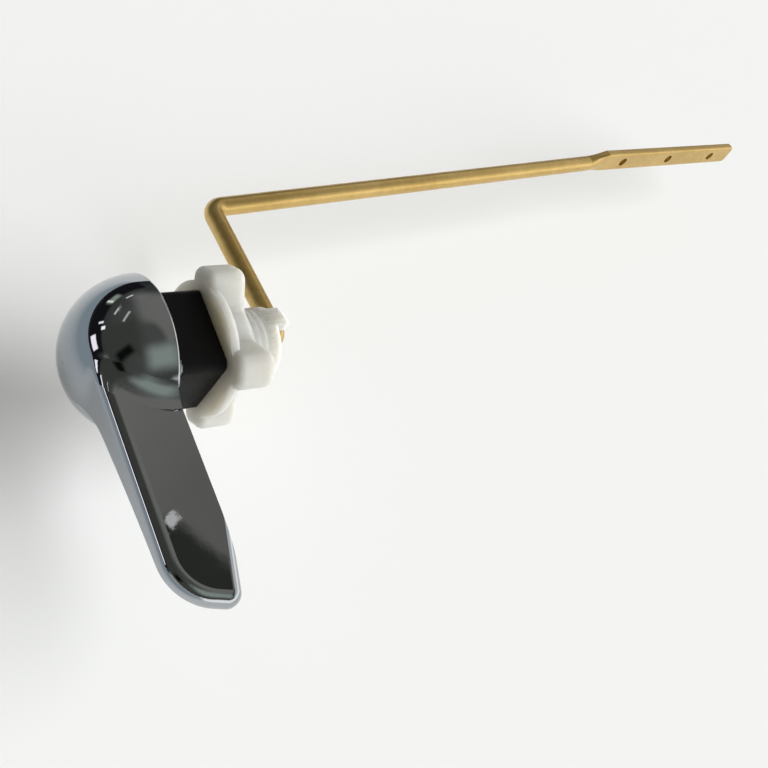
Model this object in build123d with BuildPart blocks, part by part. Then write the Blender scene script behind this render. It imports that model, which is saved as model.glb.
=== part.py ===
import os
from math import asin, cos, degrees, radians, sin, sqrt

from build123d import *

# Cistern lever for a tank's side wall: millimetres, +Z up. The pivot axis is X, which points through
# the wall into the tank. The origin is on that axis, in the plane where the gasket meets the wall.

# Lift arm: round brass rod with two bends and a hammered, drilled end
rod_diameter = 4.76
bend_inner_radius = 1.2
crank_offset = 21.4
crank_length = 41.4
crank_droop = 7.7
arm_length = 150.0
arm_splay = 6.3
taper_length = 8.0
flat_length = 74.6
flat_splay = 3.9
flat_width = 7.3
flat_thickness = 2.7
flat_edge_round = 0.8
flat_corner = 1.6
flat_rise = 0.8
chain_hole_diameter = 3.2
chain_hole_count = 3
chain_hole_pitch = 26.1
chain_hole_edge = 12.7

# Gasket: square rubber block between the bush's flange and the wall
gasket_side = 19.7
gasket_thickness = 10.0
gasket_corner = 2.0

# Bush: moulded tube with a square flange, clamped in the wall by the nut
thread_radius = 8.0
flange_thickness = 2.6
flange_inset = 0.4
flange_corner = 1.6
notch_floor = 16.8
ear_height = 3.1
ear_width_angle = 42.0
swing_angle = 40.0

# Lock nut: four grips and a sloping round flange on a ring
nut_length = 9.2
nut_turn = 48.5
nut_grip_reach = 18.1
nut_grip_width = 7.8
nut_grip_root_width = 10.4
nut_grip_corner = 2.8
nut_ring_radius = 10.4
nut_valley_radius = 2.5
nut_inner_round = 2.0
nut_seat_round = 1.6
nut_flange_radius = 15.0
nut_flange_rim = 2.0
nut_flange_thickness = 4.2
nut_flange_round = 1.4

# Handle: domed hub with a flat paddle, die cast with a hollow back and a turning stem
hub_radius = 17.3
hub_depth = 16.6
hub_wall = 2.3
hub_standoff = 0.9
boss_radius = 7.6
stem_radius = 4.95
stem_end_gap = 1.7
socket_depth = 26.0
paddle_reach = 59.3
paddle_width = 14.8
paddle_root_narrowing = 0.3
paddle_end_slant = 4.2
paddle_root_height = 9.0
paddle_tip_height = 10.6
paddle_tip_thickness = 3.1
paddle_root_depth = 11.0
paddle_belly = 1.4
paddle_edge_round = 2.6
paddle_outer_corner = 11.0
paddle_inner_corner = 3.0
paddle_inner_cut = 1.8
paddle_inner_cut_length = 8.0
hub_blend = 8.0

# Fits: each one is shared by the two pieces that meet there
stem_clearance = 0.05
thread_clearance = 0.05
gasket_clearance = 0.15
thrust_clearance = 0.2
seat_clearance = 0.2
stop_clearance = 0.1

rod_radius = rod_diameter / 2
bend_radius = rod_radius + bend_inner_radius
bore_radius = stem_radius + stem_clearance
flange_side = gasket_side - 2 * flange_inset
flange_front = -gasket_thickness - flange_thickness
ear_end = notch_floor + ear_height
rim_x = flange_front - hub_standoff
stem_end = notch_floor - stem_end_gap
rest_angle = -crank_droop
lifted_angle = rest_angle + swing_angle

# The handle's paddle is a bar cut twice: its side view gives the rising top and the thinning belly,
# its plan gives the rounded, slanted tip. The top edge is rounded before the hub swallows the root.
flank_tip_x = rim_x - paddle_width
flank_root_x = flank_tip_x + paddle_root_narrowing
root_y = hub_radius / 8
outer_reach = paddle_reach - paddle_end_slant
tip_belly = paddle_tip_height - paddle_tip_thickness
root_belly = paddle_root_height - paddle_root_depth
mid_belly = (tip_belly + root_belly) / 2 + paddle_belly
dome_crown = rim_x - hub_depth
dome_set_back = hub_radius - hub_depth
rim_radius = sqrt(hub_radius**2 - dome_set_back**2)
hollow_rim_radius = sqrt((hub_radius - hub_wall) ** 2 - dome_set_back**2)
with BuildPart() as handle:
    with BuildSketch(Plane.YZ.offset(rim_x)):
        with BuildLine():
            Line((root_y, paddle_root_height), (-paddle_reach, paddle_tip_height))
            Line((-paddle_reach, paddle_tip_height), (-paddle_reach, tip_belly))
            ThreePointArc((-paddle_reach, tip_belly), (-paddle_reach / 2, mid_belly), (root_y, root_belly))
            Line((root_y, root_belly), (root_y, paddle_root_height))
        make_face()
    extrude(amount=-2 * paddle_width)
    with BuildSketch(Plane.XY.offset(-hub_radius)) as paddle_plan:
        with BuildLine():
            Polyline(
                (rim_x, root_y),
                (rim_x, paddle_inner_cut_length - paddle_reach),
                (rim_x - paddle_inner_cut, -paddle_reach),
                (flank_tip_x, -outer_reach),
                (flank_root_x, root_y),
                close=True,
            )
        make_face()
        fillet(paddle_plan.vertices().sort_by(Axis.X)[0], radius=paddle_outer_corner)
        fillet(paddle_plan.vertices().sort_by(Axis.Y)[0], radius=paddle_inner_corner)
    extrude(amount=2 * hub_radius, mode=Mode.INTERSECT)
    paddle_top = handle.faces().sort_by(Axis.Z)[-1]
    fillet(paddle_top.edges().sort_by(Axis.X)[:-1].sort_by(Axis.Y)[:-1], radius=paddle_edge_round)
    # Domed hub: a little less than half a ball, turned about the pivot axis and flowing into the paddle
    with BuildSketch(Plane.XY):
        with BuildLine():
            Line((dome_crown, 0), (rim_x, 0))
            Line((rim_x, 0), (rim_x, rim_radius))
            RadiusArc((rim_x, rim_radius), (dome_crown, 0), -hub_radius)
        make_face()
    revolve(axis=Axis.X)
    dome = handle.faces().filter_by(GeomType.SPHERE).sort_by(SortBy.AREA)[-1]
    fillet(dome.edges().filter_by(GeomType.BSPLINE), radius=hub_blend)
    # Hollow back with the boss and the stem that turns in the bush
    with BuildSketch(Plane.XY):
        with BuildLine():
            Line((dome_crown + hub_wall, 0), (rim_x, 0))
            Line((rim_x, 0), (rim_x, hollow_rim_radius))
            RadiusArc((rim_x, hollow_rim_radius), (dome_crown + hub_wall, 0), hub_wall - hub_radius)
        make_face()
    revolve(axis=Axis.X, mode=Mode.SUBTRACT)
    with BuildSketch(Plane.YZ.offset(dome_crown + hub_wall)):
        Circle(boss_radius)
    extrude(amount=hub_depth - hub_wall + hub_standoff - thrust_clearance)
    with BuildSketch(Plane.YZ.offset(rim_x)):
        Circle(stem_radius)
    extrude(amount=stem_end - rim_x)
    with BuildSketch(Plane.YZ.offset(stem_end)):
        Circle(rod_radius)
    extrude(amount=-socket_depth, mode=Mode.SUBTRACT)

# Bush: square flange and plain tube, with two ears at the inner end that stop the lift arm
rest_flank = rest_angle - degrees(asin((rod_radius + stop_clearance) / thread_radius))
lifted_flank = lifted_angle + degrees(asin((rod_radius + stop_clearance) / thread_radius))
with BuildPart() as bush:
    with BuildSketch(Plane.YZ.offset(flange_front)):
        RectangleRounded(flange_side, flange_side, flange_corner)
    extrude(amount=flange_thickness)
    with BuildSketch(Plane.YZ.offset(-gasket_thickness)):
        Circle(thread_radius)
    extrude(amount=gasket_thickness + notch_floor)
    for stop, far in (
        (rest_angle, rest_flank - ear_width_angle),
        (lifted_angle, lifted_flank + ear_width_angle),
    ):
        side = 1 if far > stop else -1
        turn = radians(stop)
        edge = rod_radius + stop_clearance
        reach = 3 * thread_radius
        apex = edge / sin(radians(abs(far - stop)))
        stop_y = reach * cos(turn) - side * edge * sin(turn)
        stop_z = reach * sin(turn) + side * edge * cos(turn)
        with BuildSketch(Plane.YZ.offset(notch_floor)):
            Circle(thread_radius)
            with BuildLine():
                Polyline(
                    (apex * cos(radians(far)), apex * sin(radians(far))),
                    (stop_y, stop_z),
                    (reach * cos(radians(far)), reach * sin(radians(far))),
                    close=True,
                )
            make_face(mode=Mode.INTERSECT)
        extrude(amount=ear_height)
    with BuildSketch(Plane.YZ.offset(flange_front)):
        Circle(bore_radius)
    extrude(amount=ear_end - flange_front, mode=Mode.SUBTRACT)

# Gasket: square block with a hole for the bush's tube
with BuildPart() as gasket:
    with BuildSketch(Plane.YZ.offset(-gasket_thickness)):
        RectangleRounded(gasket_side, gasket_side, gasket_corner)
        Circle(thread_radius + gasket_clearance, mode=Mode.SUBTRACT)
    extrude(amount=gasket_thickness)

# Lock nut: two crossed bars make the four grips, hollow curves join them to the ring, and a round flange
# slopes up to the ring between them
nut_seat = seat_clearance
with BuildSketch() as grip_pair:
    with BuildLine():
        Polyline(
            (nut_grip_reach, nut_grip_width / 2),
            (0, nut_grip_root_width / 2),
            (-nut_grip_reach, nut_grip_width / 2),
            (-nut_grip_reach, -nut_grip_width / 2),
            (0, -nut_grip_root_width / 2),
            (nut_grip_reach, -nut_grip_width / 2),
            close=True,
        )
    make_face()
    fillet(grip_pair.vertices().sort_by_distance((0, 0, 0))[2:], radius=nut_grip_corner)
with BuildPart() as lock_nut:
    with BuildSketch(Plane.YZ.offset(nut_seat)) as nut_outline:
        Circle(nut_ring_radius)
        add(grip_pair.sketch, rotation=nut_turn)
        add(grip_pair.sketch, rotation=nut_turn + 90)
        waist = nut_outline.vertices().sort_by_distance((0, 0, 0))[:8]
        fillet(waist, radius=nut_valley_radius)
    extrude(amount=nut_length)
    fillet(lock_nut.faces().sort_by(Axis.X)[-1].edges(), radius=nut_inner_round)
    fillet(lock_nut.faces().sort_by(Axis.X)[0].edges(), radius=nut_seat_round)
    with BuildSketch(Plane.XY) as nut_flange:
        with BuildLine():
            Polyline(
                (nut_seat, 0),
                (nut_seat, nut_flange_radius),
                (nut_seat + nut_flange_rim, nut_flange_radius),
                (nut_seat + nut_flange_thickness, nut_ring_radius),
                (nut_seat + nut_flange_thickness, 0),
                close=True,
            )
        make_face()
        fillet(nut_flange.vertices().sort_by(Axis.Y)[-2:].sort_by(Axis.X)[-1], radius=nut_flange_round)
    revolve(axis=Axis.X)
    with BuildSketch(Plane.YZ.offset(nut_seat)):
        Circle(thread_radius + thread_clearance)
    extrude(amount=nut_length, mode=Mode.SUBTRACT)

# Lift arm: the rod runs along the pivot axis, turns out into the crank and turns back along the tank.
# Its end is hammered flat, so the section widens as it thins, and is drilled for the chain's hook.
crank_plane = Plane(
    origin=(0, 0, 0),
    x_dir=(1, 0, 0),
    z_dir=(0, -sin(radians(rest_angle)), cos(radians(rest_angle))),
)
rod_start = stem_end - socket_depth
arm_tilt = radians(arm_splay)
flat_tilt = radians(flat_splay)
arm_end = (crank_offset + arm_length * cos(arm_tilt), crank_length + arm_length * sin(arm_tilt))
arm_way = crank_plane.x_dir * cos(arm_tilt) + crank_plane.y_dir * sin(arm_tilt)
flat_way = crank_plane.x_dir * cos(flat_tilt) + crank_plane.y_dir * sin(flat_tilt)
flat_face_way = crank_plane.y_dir * cos(flat_tilt) - crank_plane.x_dir * sin(flat_tilt)
taper_start = crank_plane.x_dir * arm_end[0] + crank_plane.y_dir * arm_end[1]
flat_start = taper_start + flat_way * taper_length + crank_plane.z_dir * flat_rise
hole_row_length = (chain_hole_count - 1) * chain_hole_pitch
hole_row = flat_start + flat_way * (flat_length - chain_hole_edge - hole_row_length / 2)
with BuildPart() as lift_arm:
    with BuildSketch(Plane(origin=flat_start, x_dir=flat_way, z_dir=flat_face_way)) as flat_plan:
        with Locations((flat_length / 2, 0)):
            Rectangle(flat_length, flat_width)
        fillet(flat_plan.vertices().group_by(Axis.X)[-1], radius=flat_corner)
    extrude(amount=flat_thickness / 2, both=True)
    flat_sides = lift_arm.faces().sort_by(SortBy.AREA)[-2:]
    flat_rims = [rim for side in flat_sides for rim in side.edges().sort_by(Axis.X)[1:]]
    fillet(flat_rims, radius=flat_edge_round)
    with BuildLine(crank_plane) as rod_path:
        FilletPolyline(
            (rod_start, 0),
            (crank_offset, 0),
            (crank_offset, crank_length),
            arm_end,
            radius=bend_radius,
        )
    with BuildSketch(Plane.YZ.offset(rod_start)):
        Circle(rod_radius)
    sweep(path=rod_path.wire())
    with BuildSketch(Plane(origin=taper_start, x_dir=crank_plane.z_dir, z_dir=arm_way)):
        Circle(rod_radius)
    with BuildSketch(Plane(origin=flat_start, x_dir=crank_plane.z_dir, z_dir=flat_way)):
        RectangleRounded(flat_width, flat_thickness, flat_edge_round)
    loft()
    with BuildSketch(Plane(origin=hole_row, x_dir=flat_way, z_dir=flat_face_way)):
        with GridLocations(chain_hole_pitch, 0, chain_hole_count, 1):
            Circle(chain_hole_diameter / 2)
    extrude(amount=flat_thickness, both=True, mode=Mode.SUBTRACT)

os.makedirs("parts", exist_ok=True)
for name, piece in (
    ("handle", handle),
    ("bush", bush),
    ("gasket", gasket),
    ("lock_nut", lock_nut),
    ("lift_arm", lift_arm),
):
    piece.part.label = name
    export_step(piece.part, f"parts/{name}.step")
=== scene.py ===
from math import cos, radians, sin, tau

import bmesh
import bpy
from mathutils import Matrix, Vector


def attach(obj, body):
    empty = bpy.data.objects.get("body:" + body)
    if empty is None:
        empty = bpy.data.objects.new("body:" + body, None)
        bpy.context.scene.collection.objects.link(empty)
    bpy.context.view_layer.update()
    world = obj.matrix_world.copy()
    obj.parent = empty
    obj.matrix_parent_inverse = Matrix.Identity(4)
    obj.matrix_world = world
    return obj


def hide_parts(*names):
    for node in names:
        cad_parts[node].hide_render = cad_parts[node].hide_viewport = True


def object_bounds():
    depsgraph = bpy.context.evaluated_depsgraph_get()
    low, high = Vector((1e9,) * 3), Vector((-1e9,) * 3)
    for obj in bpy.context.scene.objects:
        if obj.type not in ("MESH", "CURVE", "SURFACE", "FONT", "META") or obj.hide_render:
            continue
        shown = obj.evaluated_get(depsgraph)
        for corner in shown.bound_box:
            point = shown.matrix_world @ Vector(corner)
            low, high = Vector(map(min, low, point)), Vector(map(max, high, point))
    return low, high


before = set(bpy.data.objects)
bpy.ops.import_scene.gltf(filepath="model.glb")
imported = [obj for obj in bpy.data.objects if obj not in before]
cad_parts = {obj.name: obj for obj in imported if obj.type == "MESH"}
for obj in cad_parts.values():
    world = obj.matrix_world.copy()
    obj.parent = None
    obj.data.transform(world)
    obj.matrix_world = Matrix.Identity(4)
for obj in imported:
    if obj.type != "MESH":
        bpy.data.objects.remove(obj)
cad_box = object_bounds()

# Handle: a zinc casting, polished and chrome plated. The domed hub and the paddle are one piece, and the
# stem behind the hub turns in the bush. The plate mirrors the room, with a faint haze, a slow waviness that
# polishing leaves in the casting, and hairlines from wiping.
plate_hazed = (0.375, 0.395, 0.425)
plate_clear = (0.435, 0.455, 0.48)
plate_roughness = (0.014, 0.036)
waviness_depth = 0.000012
hairline_slant = (20, 35, 10)
hairline_scale = (40.0, 90.0, 2600.0)
hairline_range = (0.66, 0.72)
hairline_roughness = 0.22
cloud_range = (0.3, 0.7)
mix_first_colour = 6
mix_second_colour = 7
mix_colour_result = 2


def new_material(name):
    """Makes a material and hands it over with its nodes, links and shader."""
    made = bpy.data.materials.new(name)
    made.use_nodes = True
    tree = made.node_tree
    return made, tree.nodes, tree.links, tree.nodes["Principled BSDF"]


def give(piece, material):
    """Gives a piece this material and no other."""
    piece.data.materials.clear()
    piece.data.materials.append(material)


# Cloudiness is shared by every finish here: two sizes of soft noise, as a value between 0 and 1
cloudiness = bpy.data.node_groups.new("cloudiness", "ShaderNodeTree")
for socket in ("Patch size", "Grain size", "Grain share"):
    cloudiness.interface.new_socket(socket, in_out="INPUT", socket_type="NodeSocketFloat")
cloudiness.interface.new_socket("Value", in_out="OUTPUT", socket_type="NodeSocketFloat")
inside = cloudiness.nodes
cloud_in = inside.new("NodeGroupInput")
cloud_out = inside.new("NodeGroupOutput")
cloud_place = inside.new("ShaderNodeTexCoord")
cloud_layers = []
for size_socket, detail in (("Patch size", 3.0), ("Grain size", 2.0)):
    per_metre = inside.new("ShaderNodeMath")
    per_metre.operation = "DIVIDE"
    per_metre.inputs[0].default_value = 1.0
    cloudiness.links.new(cloud_in.outputs[size_socket], per_metre.inputs[1])
    noise = inside.new("ShaderNodeTexNoise")
    noise.inputs["Detail"].default_value = detail
    cloudiness.links.new(cloud_place.outputs["Object"], noise.inputs["Vector"])
    cloudiness.links.new(per_metre.outputs[0], noise.inputs["Scale"])
    cloud_layers.append(noise.outputs["Fac"])
cloud_mix = inside.new("ShaderNodeMix")
cloudiness.links.new(cloud_in.outputs["Grain share"], cloud_mix.inputs["Factor"])
cloudiness.links.new(cloud_layers[0], cloud_mix.inputs["A"])
cloudiness.links.new(cloud_layers[1], cloud_mix.inputs["B"])
cloudiness.links.new(cloud_mix.outputs["Result"], cloud_out.inputs["Value"])


def add_cloudiness(nodes, patch, grain, share):
    """Adds the cloudiness, with the sizes of its patches and grain in metres, and the grain's share."""
    node = nodes.new("ShaderNodeGroup")
    node.node_tree = cloudiness
    node.inputs["Patch size"].default_value = patch
    node.inputs["Grain size"].default_value = grain
    node.inputs["Grain share"].default_value = share
    return node.outputs["Value"]


def spread(nodes, links, value, reach, wanted=(0.0, 1.0)):
    """Maps the reach of a value to the range that is wanted."""
    node = nodes.new("ShaderNodeMapRange")
    for socket, number in zip(("From Min", "From Max", "To Min", "To Max"), (*reach, *wanted)):
        node.inputs[socket].default_value = number
    links.new(value, node.inputs["Value"])
    return node.outputs["Result"]


def tint(nodes, links, value, first, second):
    """Mixes two colours by a value. Each is a plain colour or what another node gives."""
    node = nodes.new("ShaderNodeMix")
    node.data_type = "RGBA"
    links.new(value, node.inputs["Factor"])
    for socket, colour in ((mix_first_colour, first), (mix_second_colour, second)):
        if isinstance(colour, tuple):
            node.inputs[socket].default_value = (*colour, 1.0)
        else:
            links.new(colour, node.inputs[socket])
    return node.outputs[mix_colour_result]


def relief(nodes, links, shader, height, depth):
    """Bumps a finish by a height, over a real depth in metres."""
    node = nodes.new("ShaderNodeBump")
    node.inputs["Distance"].default_value = depth
    links.new(height, node.inputs["Height"])
    links.new(node.outputs["Normal"], shader.inputs["Normal"])


def stretched_noise(nodes, links, place, scale, detail, slant=(0, 0, 0)):
    """Adds noise that is drawn out into lines, by a scale along each axis and a slant in degrees."""
    stretch = nodes.new("ShaderNodeMapping")
    stretch.inputs["Rotation"].default_value = [radians(angle) for angle in slant]
    stretch.inputs["Scale"].default_value = scale
    links.new(place, stretch.inputs["Vector"])
    node = nodes.new("ShaderNodeTexNoise")
    node.inputs["Scale"].default_value = 1.0
    node.inputs["Detail"].default_value = detail
    links.new(stretch.outputs["Vector"], node.inputs["Vector"])
    return node.outputs["Fac"]


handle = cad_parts["handle"]
chrome, nodes, links, shader = new_material("polished_chrome")
shader.inputs["Metallic"].default_value = 1.0
haze = add_cloudiness(nodes, patch=0.009, grain=0.0007, share=0.3)
links.new(tint(nodes, links, haze, plate_hazed, plate_clear), shader.inputs["Base Color"])
place = nodes.new("ShaderNodeTexCoord").outputs["Object"]
wiped = stretched_noise(nodes, links, place, hairline_scale, detail=1.0, slant=hairline_slant)
plate_polish = nodes.new("ShaderNodeMix")
links.new(spread(nodes, links, wiped, hairline_range), plate_polish.inputs["Factor"])
links.new(spread(nodes, links, haze, cloud_range, plate_roughness), plate_polish.inputs["A"])
plate_polish.inputs["B"].default_value = hairline_roughness
links.new(plate_polish.outputs["Result"], shader.inputs["Roughness"])
waviness = add_cloudiness(nodes, patch=0.011, grain=0.0006, share=0.05)
relief(nodes, links, shader, waviness, waviness_depth)
give(handle, chrome)

# Hub lip: the casting's rim ends in a small rounded lip, plated with the rest of the handle. It is a bead,
# half buried in the rim, that runs round the hub and dives into the casting where the paddle begins.
hub_rim_x = -0.0135
hub_rim_radius = 0.017286
lip_round = 0.0007
lip_sunk = 1.1 * lip_round
lip_from_degree = -176
lip_to_degree = 147
lip_dive_degrees = 9
lip_sides = 20


def solid_from_rings(name, rings):
    """Makes a closed piece from rings of points, each joined to the next, with a face over both ends."""
    made = bmesh.new()
    rows = [[made.verts.new(point) for point in ring] for ring in rings]
    corners = len(rows[0])
    for before, after in zip(rows, rows[1:]):
        for k in range(corners):
            beside = (k + 1) % corners
            made.faces.new((before[k], before[beside], after[beside], after[k]))
    made.faces.new(rows[0])
    made.faces.new(list(reversed(rows[-1])))
    bmesh.ops.recalc_face_normals(made, faces=made.faces)
    mesh = bpy.data.meshes.new(name)
    made.to_mesh(mesh)
    made.free()
    piece = bpy.data.objects.new(name, mesh)
    bpy.context.scene.collection.objects.link(piece)
    return piece


lip_rings = []
for degree in range(lip_from_degree, lip_to_degree + 1):
    turn = radians(degree)
    from_end = min(degree - lip_from_degree, lip_to_degree - degree)
    buried = max(0.0, 1 - from_end / lip_dive_degrees) ** 2 * lip_sunk
    ring = []
    for side in range(lip_sides):
        around = tau * side / lip_sides
        along = hub_rim_x - buried + lip_round * cos(around)
        radius = hub_rim_radius - lip_round + lip_round * sin(around)
        ring.append((along, radius * cos(turn), radius * sin(turn)))
    lip_rings.append(ring)
hub_lip = solid_from_rings("hub_lip", lip_rings)
hub_lip.data.shade_smooth()
give(hub_lip, chrome)
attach(hub_lip, "lever")

# Bush: a milky plastic moulding, with a square flange behind the gasket and a threaded tube through the
# wall. The thread is cut here into a copy of the moulding, so that its ridges show past the lock nut.
thread_crest = 0.008
thread_depth = 0.00024
thread_pitch = 0.0016
thread_from = 0.0005
thread_to = 0.0148
groove_half_width = 0.40 * thread_pitch
groove_floor_half_width = 0.08 * thread_pitch
groove_clear_of_crest = 0.0006
steps_per_turn = 72
seam_reach = 1e-6
sharp_from_degrees = 28
plastic_dark = (0.495, 0.492, 0.465)
plastic_light = (0.58, 0.577, 0.55)
plastic_roughness = (0.30, 0.46)
plastic_light_depth = 0.009
plastic_light_share = (1.0, 0.9, 0.75)
plastic_refraction = 1.49
plastic_skin_depth = 0.00005

bush_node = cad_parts["bush"]
bush = bush_node.copy()
bush.data = bush_node.data.copy()
bush.name = "threaded_bush"
bpy.context.scene.collection.objects.link(bush)

groove_section = (
    (-groove_half_width, groove_clear_of_crest),
    (groove_half_width, groove_clear_of_crest),
    (groove_half_width, 0.0),
    (groove_floor_half_width, -thread_depth),
    (-groove_floor_half_width, -thread_depth),
    (-groove_half_width, 0.0),
)
turns = (thread_to - thread_from) / thread_pitch
groove_rings = []
for step in range(int(turns * steps_per_turn) + 1):
    turn = tau * step / steps_per_turn
    along = thread_from + thread_pitch * step / steps_per_turn
    ring = []
    for shift, rise in groove_section:
        radius = thread_crest + rise
        ring.append((along + shift, radius * cos(turn), radius * sin(turn)))
    groove_rings.append(ring)
groove = solid_from_rings("thread_groove", groove_rings)
weld = bush.modifiers.new("weld", "WELD")
weld.merge_threshold = seam_reach
cut = bush.modifiers.new("thread", "BOOLEAN")
cut.operation = "DIFFERENCE"
cut.solver = "EXACT"
cut.object = groove
bpy.context.view_layer.update()
threaded = bpy.data.meshes.new_from_object(bush.evaluated_get(bpy.context.evaluated_depsgraph_get()))
bush.modifiers.clear()
bush.data = threaded
bpy.data.objects.remove(groove)

# The cut leaves slivers without any width along the crests, and they are taken out of its triangles
mend = bmesh.new()
mend.from_mesh(threaded)
bmesh.ops.triangulate(mend, faces=mend.faces)
bmesh.ops.dissolve_degenerate(mend, dist=seam_reach, edges=mend.edges)
bmesh.ops.triangulate(mend, faces=mend.faces)
mend.to_mesh(threaded)
mend.free()
threaded.shade_smooth()
threaded.set_sharp_from_angle(angle=radians(sharp_from_degrees))


def milky_plastic(name):
    """Moulded polypropylene: light goes a little way in, so it looks milky, with slow clouds in it."""
    made, nodes, links, shader = new_material(name)
    clouds = add_cloudiness(nodes, patch=0.008, grain=0.0009, share=0.25)
    soft = spread(nodes, links, clouds, cloud_range)
    links.new(tint(nodes, links, soft, plastic_dark, plastic_light), shader.inputs["Base Color"])
    links.new(spread(nodes, links, clouds, cloud_range, plastic_roughness), shader.inputs["Roughness"])
    shader.inputs["Subsurface Weight"].default_value = 1.0
    shader.inputs["Subsurface Radius"].default_value = plastic_light_share
    shader.inputs["Subsurface Scale"].default_value = plastic_light_depth
    shader.inputs["IOR"].default_value = plastic_refraction
    skin = add_cloudiness(nodes, patch=0.0024, grain=0.0003, share=0.4)
    relief(nodes, links, shader, skin, plastic_skin_depth)
    return made


give(bush, milky_plastic("bush_plastic"))
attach(bush, "wall_side")
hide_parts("bush")

# Gasket: a square block of black rubber with a hole for the bush's tube. The lock nut draws it against the
# wall. It is smooth and nearly matt, with a little bloom.
rubber_black = (0.002, 0.002, 0.0021)
rubber_bloom = (0.0055, 0.0055, 0.006)
rubber_roughness = (0.42, 0.6)
rubber_gloss = 0.12
rubber_grain_depth = 0.00006

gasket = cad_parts["gasket"]
rubber, nodes, links, shader = new_material("black_rubber")
bloom = add_cloudiness(nodes, patch=0.005, grain=0.0004, share=0.45)
links.new(tint(nodes, links, bloom, rubber_black, rubber_bloom), shader.inputs["Base Color"])
links.new(spread(nodes, links, bloom, cloud_range, rubber_roughness), shader.inputs["Roughness"])
shader.inputs["Specular IOR Level"].default_value = rubber_gloss
relief(nodes, links, shader, bloom, rubber_grain_depth)
give(gasket, rubber)

# Lock nut: the same milky plastic as the bush, moulded with four rounded grips. It screws along the bush's
# tube and clamps the wall against the gasket.
lock_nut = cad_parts["lock_nut"]
give(lock_nut, milky_plastic("nut_plastic"))

# Lift arm: drawn brass rod, bent twice and pressed into the handle's stem. Its end is hammered flat and
# drilled for the chain. Drawing leaves fine lines along the rod, and the brass has dulled unevenly.
crank_to_arm = (0.0235, 0.0255)
lines_along_arm = (14.0, 2600.0, 2600.0)
lines_along_crank = (2600.0, 14.0, 2600.0)
line_depth = 0.000014
brass_dull = (0.56, 0.375, 0.12)
brass_bright = (0.71, 0.50, 0.195)
brass_roughness = (0.32, 0.43)
tarnish_range = (0.32, 0.68)

lift_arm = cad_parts["lift_arm"]
brass, nodes, links, shader = new_material("drawn_brass")
shader.inputs["Metallic"].default_value = 1.0
place = nodes.new("ShaderNodeTexCoord").outputs["Object"]
place_parts = nodes.new("ShaderNodeSeparateXYZ")
links.new(place, place_parts.inputs["Vector"])
drawn = nodes.new("ShaderNodeMix")
links.new(spread(nodes, links, place_parts.outputs["X"], crank_to_arm), drawn.inputs["Factor"])
links.new(stretched_noise(nodes, links, place, lines_along_crank, detail=2.0), drawn.inputs["A"])
links.new(stretched_noise(nodes, links, place, lines_along_arm, detail=2.0), drawn.inputs["B"])
lines = drawn.outputs["Result"]
tarnish = add_cloudiness(nodes, patch=0.016, grain=0.0016, share=0.4)
dulled = spread(nodes, links, tarnish, tarnish_range)
links.new(tint(nodes, links, dulled, brass_dull, brass_bright), shader.inputs["Base Color"])
links.new(spread(nodes, links, lines, cloud_range, brass_roughness), shader.inputs["Roughness"])
relief(nodes, links, shader, lines, line_depth)
give(lift_arm, brass)

# Floor: a plain pale sheet of matt card, low enough for the paddle to swing down clear of it. Past the
# handle's domed side, outside the picture, painted shade darkens it slowly to a blue grey, which cools the
# chrome's flank.
swing_room = 0.016
floor_height = cad_box[0].z - swing_room
floor_reach = 6.0
picture_edge = (-0.0525, -0.067, floor_height)
away_from_picture = (-0.966, 0.260, 0.0)
# Painted shade: past the picture's edge the card is darkened to a blue grey over this length, for the
# chrome's flank to mirror
painted_shade_length = 0.11
card_shade = (0.935, 0.938, 0.94)
card_pale = (0.955, 0.957, 0.96)
card_painted_shade = (0.42, 0.49, 0.54)
card_roughness = 0.9
card_gloss = 0.1

floor_sides = ((-1, -1), (1, -1), (1, 1), (-1, 1))
floor_corners = [(x * floor_reach, y * floor_reach, floor_height) for x, y in floor_sides]
floor_mesh = bpy.data.meshes.new("floor")
floor_mesh.from_pydata(floor_corners, [], [(0, 1, 2, 3)])
floor = bpy.data.objects.new("floor", floor_mesh)
bpy.context.scene.collection.objects.link(floor)
card, nodes, links, shader = new_material("pale_card")
shader.inputs["Roughness"].default_value = card_roughness
shader.inputs["Specular IOR Level"].default_value = card_gloss
from_edge = nodes.new("ShaderNodeVectorMath")
from_edge.operation = "SUBTRACT"
from_edge.inputs[1].default_value = picture_edge
links.new(nodes.new("ShaderNodeTexCoord").outputs["Object"], from_edge.inputs[0])
past_edge = nodes.new("ShaderNodeVectorMath")
past_edge.operation = "DOT_PRODUCT"
past_edge.inputs[1].default_value = away_from_picture
links.new(from_edge.outputs["Vector"], past_edge.inputs[0])
# Painted shade: the card's colour darkens towards the blue grey with distance past the picture's edge
painted_shade = spread(nodes, links, past_edge.outputs["Value"], (0.0, painted_shade_length))
weave = add_cloudiness(nodes, patch=0.4, grain=0.004, share=0.2)
card_colour = tint(nodes, links, weave, card_shade, card_pale)
links.new(tint(nodes, links, painted_shade, card_colour, card_painted_shade), shader.inputs["Base Color"])
give(floor, card)

# Light: one broad lamp overhead, that lights the lever and the floor at a plain level. It is kept out of the
# chrome, which mirrors the room instead.
lamp_energy = 2.7
lamp_breadth = 60
lamp_lean = (21.6, 39.3, 0)

lamp = bpy.data.objects.new("overhead", bpy.data.lights.new("overhead", "SUN"))
lamp.data.energy = lamp_energy
lamp.data.angle = radians(lamp_breadth)
lamp.rotation_euler = [radians(angle) for angle in lamp_lean]
lamp.visible_glossy = False
bpy.context.scene.collection.objects.link(lamp)

# Room: what the chrome and the brass mirror. It is dim, darkest near the ground, and its walls, windows and
# lamps are soft-edged panels that are laid over each other in this order.
room_low = (0.02, (0.035, 0.035, 0.04))
room_high = (0.75, (0.12, 0.125, 0.11))
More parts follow.
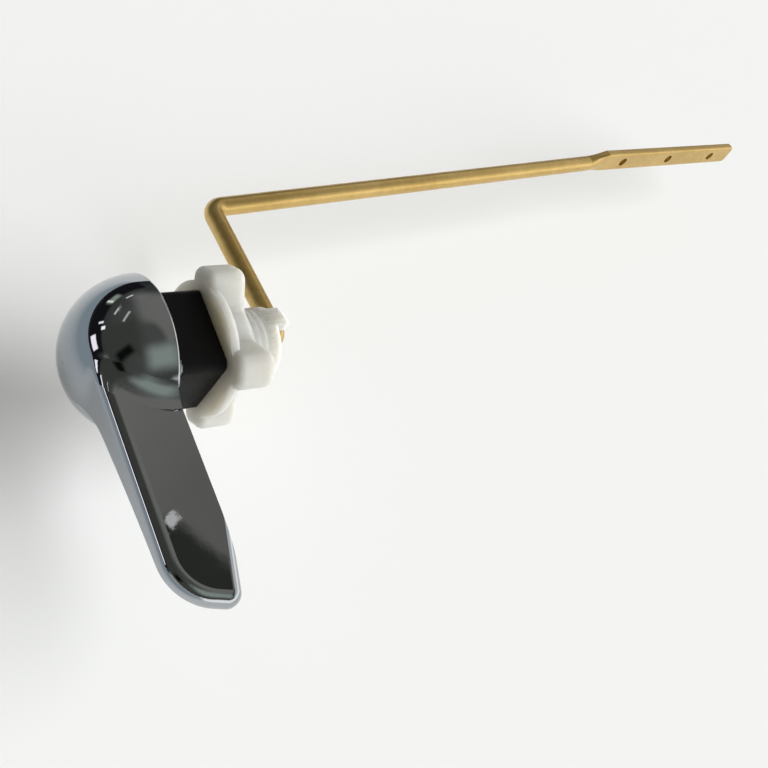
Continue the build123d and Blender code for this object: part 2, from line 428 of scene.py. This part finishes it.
# Each panel's compass way, tilt, half width, half height and soft edge are in degrees, seen from the lever
room_panels = (
    ("pale wall, upper part", 20, 70, 18, 12, 6, (0.28, 0.27, 0.245)),
    ("pale wall, side part", 66, 52, 24, 24, 8, (0.285, 0.275, 0.25)),
    ("shade on the pale wall", 30, 53, 6.5, 6, 4, (0.215, 0.21, 0.185)),
    ("dark side of the room", 175, 45, 28, 26, 12, (0.08, 0.083, 0.068)),
    ("greenish ceiling", -85, 58, 20, 15, 10, (0.43, 0.49, 0.43)),
    ("bright wall", 4, 34, 44, 11, 5, (0.85, 0.85, 0.83)),
    ("low wall on the dome's side", -143, 8, 32, 10, 5, (0.6, 0.6, 0.59)),
    ("long window", -45, 16, 65, 12, 5, (1.6, 1.6, 1.55)),
    ("dark shelf on the pale wall", 31.4, 57.8, 3.1, 1.05, 0.35, (0.045, 0.047, 0.038)),
    ("pale card on the shelf", 36.45, 56.85, 0.3, 0.36, 0.05, (0.9, 0.88, 0.84)),
    ("black cabinet", -163, 40, 6.5, 12, 4, (0.008, 0.008, 0.008)),
    ("dark band near the ground", 125, 11, 50, 9, 2, (0.014, 0.014, 0.016)),
    ("low window", 161, 7, 9, 3.6, 0.8, (2.0, 1.85, 1.92)),
    ("small window", 147, 21, 2.2, 2.6, 0.6, (2.1, 2.05, 2.0)),
    ("narrow window", 139, 17, 1.4, 3.2, 0.6, (1.7, 1.7, 1.65)),
    ("greenish board", 106, 15, 7, 3.5, 2.5, (0.46, 0.52, 0.42)),
    ("upright lamp", 110, 14, 1.5, 4, 0.7, (1.35, 1.4, 1.25)),
    ("long lamp", 121, 31, 6, 1.2, 0.6, (1.0, 1.03, 0.98)),
    ("short lamp", 95, 26, 4, 1.0, 0.6, (1.1, 1.1, 1.07)),
    ("high lamp", 127, 46, 8, 1.3, 0.7, (0.8, 0.82, 0.8)),
)


def dot_product(tree, first, second):
    """Adds the dot product of what two other nodes give."""
    node = tree.nodes.new("ShaderNodeVectorMath")
    node.operation = "DOT_PRODUCT"
    tree.links.new(first, node.inputs[0])
    tree.links.new(second, node.inputs[1])
    return node.outputs["Value"]


def product(tree, first, second):
    """Adds the product of what two other nodes give."""
    node = tree.nodes.new("ShaderNodeMath")
    node.operation = "MULTIPLY"
    tree.links.new(first, node.inputs[0])
    tree.links.new(second, node.inputs[1])
    return node.outputs[0]


# One panel as a mask: by how far a way lies from its middle, to the east and to the north, and in front of it
panel = bpy.data.node_groups.new("room_panel", "ShaderNodeTree")
for socket in ("Way", "Middle", "East", "North"):
    panel.interface.new_socket(socket, in_out="INPUT", socket_type="NodeSocketVector")
for socket in ("Inner width", "Outer width", "Inner height", "Outer height"):
    panel.interface.new_socket(socket, in_out="INPUT", socket_type="NodeSocketFloat")
panel.interface.new_socket("Mask", in_out="OUTPUT", socket_type="NodeSocketFloat")
panel_in = panel.nodes.new("NodeGroupInput")
panel_out = panel.nodes.new("NodeGroupOutput")
panel_edges = []
for towards, extent in (("East", "width"), ("North", "height")):
    size = panel.nodes.new("ShaderNodeMath")
    size.operation = "ABSOLUTE"
    panel.links.new(dot_product(panel, panel_in.outputs["Way"], panel_in.outputs[towards]), size.inputs[0])
    edge = panel.nodes.new("ShaderNodeMapRange")
    edge.interpolation_type = "SMOOTHSTEP"
    panel.links.new(size.outputs[0], edge.inputs["Value"])
    panel.links.new(panel_in.outputs["Outer " + extent], edge.inputs["From Min"])
    panel.links.new(panel_in.outputs["Inner " + extent], edge.inputs["From Max"])
    panel_edges.append(edge.outputs["Result"])
in_front = panel.nodes.new("ShaderNodeMath")
in_front.operation = "GREATER_THAN"
in_front.inputs[1].default_value = 0.0
panel.links.new(dot_product(panel, panel_in.outputs["Way"], panel_in.outputs["Middle"]), in_front.inputs[0])
masked = product(panel, product(panel, *panel_edges), in_front.outputs[0])
panel.links.new(masked, panel_out.inputs["Mask"])

world = bpy.data.worlds.new("studio")
bpy.context.scene.world = world
world.use_nodes = True
nodes = world.node_tree.nodes
links = world.node_tree.links
way = nodes.new("ShaderNodeTexCoord").outputs["Generated"]
way_parts = nodes.new("ShaderNodeSeparateXYZ")
links.new(way, way_parts.inputs["Vector"])
room = nodes.new("ShaderNodeValToRGB")
for stop, (height, colour) in zip(room.color_ramp.elements, (room_low, room_high)):
    stop.position = height
    stop.color = (*colour, 1.0)
links.new(way_parts.outputs["Z"], room.inputs["Fac"])
seen = room.outputs["Color"]
for name, towards, tilt, half_width, half_height, soft, colour in room_panels:
    turn = radians(towards)
    rise = radians(tilt)
    node = nodes.new("ShaderNodeGroup")
    node.node_tree = panel
    node.label = name
    node.inputs["Middle"].default_value = (cos(turn) * cos(rise), sin(turn) * cos(rise), sin(rise))
    node.inputs["East"].default_value = (-sin(turn), cos(turn), 0)
    node.inputs["North"].default_value = (-cos(turn) * sin(rise), -sin(turn) * sin(rise), cos(rise))
    for extent, half in (("width", half_width), ("height", half_height)):
        node.inputs["Inner " + extent].default_value = sin(radians(max(half - soft, 0)))
        node.inputs["Outer " + extent].default_value = sin(radians(half + soft))
    links.new(way, node.inputs["Way"])
    seen = tint(nodes, links, node.outputs["Mask"], seen, colour)
links.new(seen, nodes["Background"].inputs["Color"])

# Camera: above the handle and a little to its left, so that the paddle points down the picture and the lift
# arm runs away to the right. Its place and angle are those that were fitted to the photo.
camera_place = (-0.11714, -0.09969, 0.19092)
camera_turn = (33.866, -29.622, -25.925)
camera_lens = 52.4
camera_sensor = 36.0
camera_nearest = 0.005
camera_farthest = 50

camera = bpy.data.objects.new("camera", bpy.data.cameras.new("camera"))
camera.data.sensor_width = camera_sensor
camera.data.lens = camera_lens
camera.data.clip_start = camera_nearest
camera.data.clip_end = camera_farthest
camera.location = camera_place
camera.rotation_euler = [radians(angle) for angle in camera_turn]
bpy.context.scene.collection.objects.link(camera)
bpy.context.scene.camera = camera
bpy.context.scene.view_settings.view_transform = "Standard"
